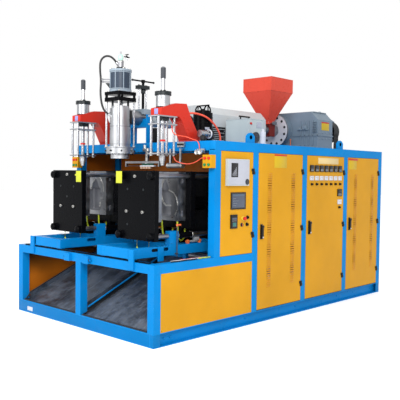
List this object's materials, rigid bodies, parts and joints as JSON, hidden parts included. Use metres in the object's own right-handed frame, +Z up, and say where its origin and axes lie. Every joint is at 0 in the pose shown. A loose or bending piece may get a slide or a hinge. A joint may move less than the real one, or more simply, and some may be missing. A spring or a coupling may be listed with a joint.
{
  "type": "blow moulding machine",
  "caption": "Twin-station extrusion blow moulding machine with sliding mould carriages, central die head, blow pins, extruder with hopper and a control cabinet.",
  "frame": {"origin": "middle of the machine's bounding box at floor level", "axes": "+X from the mould end to the motor end, -Y is the door side, +Z up"},
  "size_m": [3.944, 2.209, 2.706],
  "materials": {
    "frame_blue": "gloss enamel",
    "panel_yellow": "gloss enamel",
    "chute_steel": "worn sheet",
    "black_steel": "satin",
    "mould_grey": "machined cast",
    "bright_steel": "ground and plated",
    "machined_steel": "turned",
    "arm_red": "gloss enamel",
    "cover_grey": "powder coat",
    "hopper_red": "gloss enamel",
    "gear_grey": "gloss enamel on casting",
    "belt_black": "matt",
    "tube_red": "polyurethane",
    "hose_green": "clear tinted",
    "plastic_black": "moulded",
    "housing_grey": "powder coat",
    "button_red": "moulded",
    "tank_black": "gloss enamel",
    "valve_white": "enamel",
    "switchgear": "moulded"
  },
  "bodies": {
    "machine": {"base_frame": "frame_blue", "table_frame": "frame_blue", "cabinet_frame": "frame_blue", "side_panels": "panel_yellow", "discharge_chutes": "chute_steel", "drive_cylinders": "machined_steel", "blow_arms": "arm_red", "blow_units": "bright_steel", "die_head": "bright_steel", "head_frame": "black_steel", "head_cylinder": "gear_grey", "head_hose": "belt_black", "air_tubes": "tube_red", "extruder_barrel": "machined_steel", "feed_section": "hopper_red", "barrel_cover": "cover_grey", "hopper": "hopper_red", "gearbox": "gear_grey", "drive_belts": "belt_black", "main_motor": "gear_grey", "hydraulic_unit": "gear_grey", "electrical_plate": "switchgear", "barrel_support": "frame_blue", "vacuum_tank": "tank_black", "loader_box": "housing_grey", "air_service_unit": "valve_white", "pendant_boxes": "panel_yellow", "door_hinges": "black_steel"},
    "control_door": {"control_door": "panel_yellow", "control_instruments": "plastic_black"},
    "door_1": {"door_1": "panel_yellow"},
    "door_2": {"door_2": "panel_yellow", "door_instruments": "plastic_black"},
    "door_3": {"door_3": "panel_yellow"},
    "estop_button": {"estop_button": "button_red"},
    "handle_1": {"handle_1": "plastic_black"},
    "handle_2": {"handle_2": "plastic_black"},
    "handle_3": {"handle_3": "plastic_black"},
    "near_blow_pin": {"near_blow_pin": "bright_steel"},
    "far_blow_pin": {"far_blow_pin": "bright_steel"},
    "parison_rod": {"parison_rod": "bright_steel"},
    "hopper_gate": {"hopper_gate": "bright_steel"},
    "extruder_screw": {"extruder_screw": "machined_steel"},
    "gearbox_pulley": {"gearbox_pulley": "black_steel"},
    "motor_pulley": {"motor_pulley": "black_steel"},
    "cutter_arm": {"cutter_arm": "machined_steel"},
    "jack_screw": {"jack_screw": "bright_steel"},
    "valve_handwheel": {"valve_handwheel": "valve_white"},
    "near_carriage": {"near_carriage": "frame_blue"},
    "near_front_clamp": {"near_front_clamp": "black_steel", "near_front_mould": "mould_grey"},
    "near_rear_clamp": {"near_rear_clamp": "black_steel", "near_rear_mould": "mould_grey", "near_water_hoses": "hose_green"},
    "far_carriage": {"far_carriage": "frame_blue"},
    "far_front_clamp": {"far_front_clamp": "black_steel", "far_front_mould": "mould_grey"},
    "far_rear_clamp": {"far_rear_clamp": "black_steel", "far_rear_mould": "mould_grey", "far_water_hoses": "hose_green"}
  },
  "joints": [
    {"name": "door_1_swing", "type": "hinge", "parent": "machine", "child": "door_1", "pos_m": [0.211, -1.0735, 0.13], "axis": [0, 0, 1], "range_deg": [0, 100]},
    {"name": "door_2_swing", "type": "hinge", "parent": "machine", "child": "door_2", "pos_m": [1.059, -1.0735, 0.13], "axis": [0, 0, 1], "range_deg": [0, 100]},
    {"name": "door_3_swing", "type": "hinge", "parent": "machine", "child": "door_3", "pos_m": [1.889, -1.0735, 0.13], "axis": [0, 0, 1], "range_deg": [0, 100]},
    {"name": "control_door_swing", "type": "hinge", "parent": "machine", "child": "control_door", "pos_m": [-0.637, -1.0735, 0.716], "axis": [0, 0, 1], "range_deg": [0, 100]},
    {"name": "handle_1_turn", "type": "hinge", "parent": "door_1", "child": "handle_1", "pos_m": [-0.496, -1.0865, 0.968], "axis": [0, -1, 0], "range_deg": [0, 90]},
    {"name": "handle_2_turn", "type": "hinge", "parent": "door_2", "child": "handle_2", "pos_m": [0.352, -1.0865, 0.968], "axis": [0, -1, 0], "range_deg": [0, 90]},
    {"name": "handle_3_turn", "type": "hinge", "parent": "door_3", "child": "handle_3", "pos_m": [1.2, -1.0865, 0.968], "axis": [0, -1, 0], "range_deg": [0, 90]},
    {"name": "near_carriage_travel", "type": "slide", "parent": "machine", "child": "near_carriage", "axis": [0, 1, 0], "range_m": [-0.081, 0.549]},
    {"name": "far_carriage_travel", "type": "slide", "parent": "machine", "child": "far_carriage", "axis": [0, 1, 0], "range_m": [-0.549, 0.081]},
    {"name": "near_front_clamp_close", "type": "slide", "parent": "near_carriage", "child": "near_front_clamp", "axis": [1, 0, 0], "range_m": [0, 0.105]},
    {"name": "near_rear_clamp_close", "type": "slide", "parent": "near_carriage", "child": "near_rear_clamp", "axis": [1, 0, 0], "range_m": [-0.105, 0]},
    {"name": "near_blow_pin_stroke", "type": "slide", "parent": "machine", "child": "near_blow_pin", "axis": [0, 0, -1], "range_m": [0, 0.1]},
    {"name": "far_front_clamp_close", "type": "slide", "parent": "far_carriage", "child": "far_front_clamp", "axis": [1, 0, 0], "range_m": [0, 0.105]},
    {"name": "far_rear_clamp_close", "type": "slide", "parent": "far_carriage", "child": "far_rear_clamp", "axis": [1, 0, 0], "range_m": [-0.105, 0]},
    {"name": "far_blow_pin_stroke", "type": "slide", "parent": "machine", "child": "far_blow_pin", "axis": [0, 0, -1], "range_m": [0, 0.1]},
    {"name": "parison_rod_stroke", "type": "slide", "parent": "machine", "child": "parison_rod", "axis": [0, 0, -1], "range_m": [0, 0.015]},
    {"name": "hopper_gate_slide", "type": "slide", "parent": "machine", "child": "hopper_gate", "axis": [0, -1, 0], "range_m": [0, 0.095]},
    {"name": "cutter_swing", "type": "hinge", "parent": "machine", "child": "cutter_arm", "pos_m": [-1.242, -0.1835, 1.59], "axis": [0, 0, 1], "range_deg": [0, 65]},
    {"name": "gearbox_pulley_spin", "type": "hinge", "parent": "machine", "child": "gearbox_pulley", "pos_m": [1.628, -0.4265, 2.061], "axis": [1, 0, 0], "continuous": true},
    {"name": "motor_pulley_spin", "type": "hinge", "parent": "machine", "child": "motor_pulley", "pos_m": [1.628, -0.4265, 0.42], "axis": [1, 0, 0], "continuous": true},
    {"name": "screw_spin", "type": "hinge", "parent": "machine", "child": "extruder_screw", "pos_m": [0.98, 0.0165, 2.061], "axis": [1, 0, 0], "continuous": true},
    {"name": "estop_press", "type": "slide", "parent": "control_door", "child": "estop_button", "axis": [0, 1, 0], "range_m": [0, 0.005], "stiffness_N_per_m": 1500, "springref_m": -0.001},
    {"name": "jack_screw_turn", "type": "hinge", "parent": "machine", "child": "jack_screw", "pos_m": [-1.136, 0.0165, 2.159], "axis": [0, 0, 1], "range_deg": [-180, 180]},
    {"name": "valve_handwheel_turn", "type": "hinge", "parent": "machine", "child": "valve_handwheel", "pos_m": [-0.965, -0.7665, 1.88], "axis": [1, 0, 0], "range_deg": [0, 350]}
  ],
  "couplings": [
    {"joint": "screw_spin", "follows": "gearbox_pulley_spin", "ratio": 0.08},
    {"joint": "motor_pulley_spin", "follows": "gearbox_pulley_spin", "ratio": 1.5556},
    {"joint": "near_rear_clamp_close", "follows": "near_front_clamp_close", "ratio": -1},
    {"joint": "far_rear_clamp_close", "follows": "far_front_clamp_close", "ratio": -1}
  ]
}
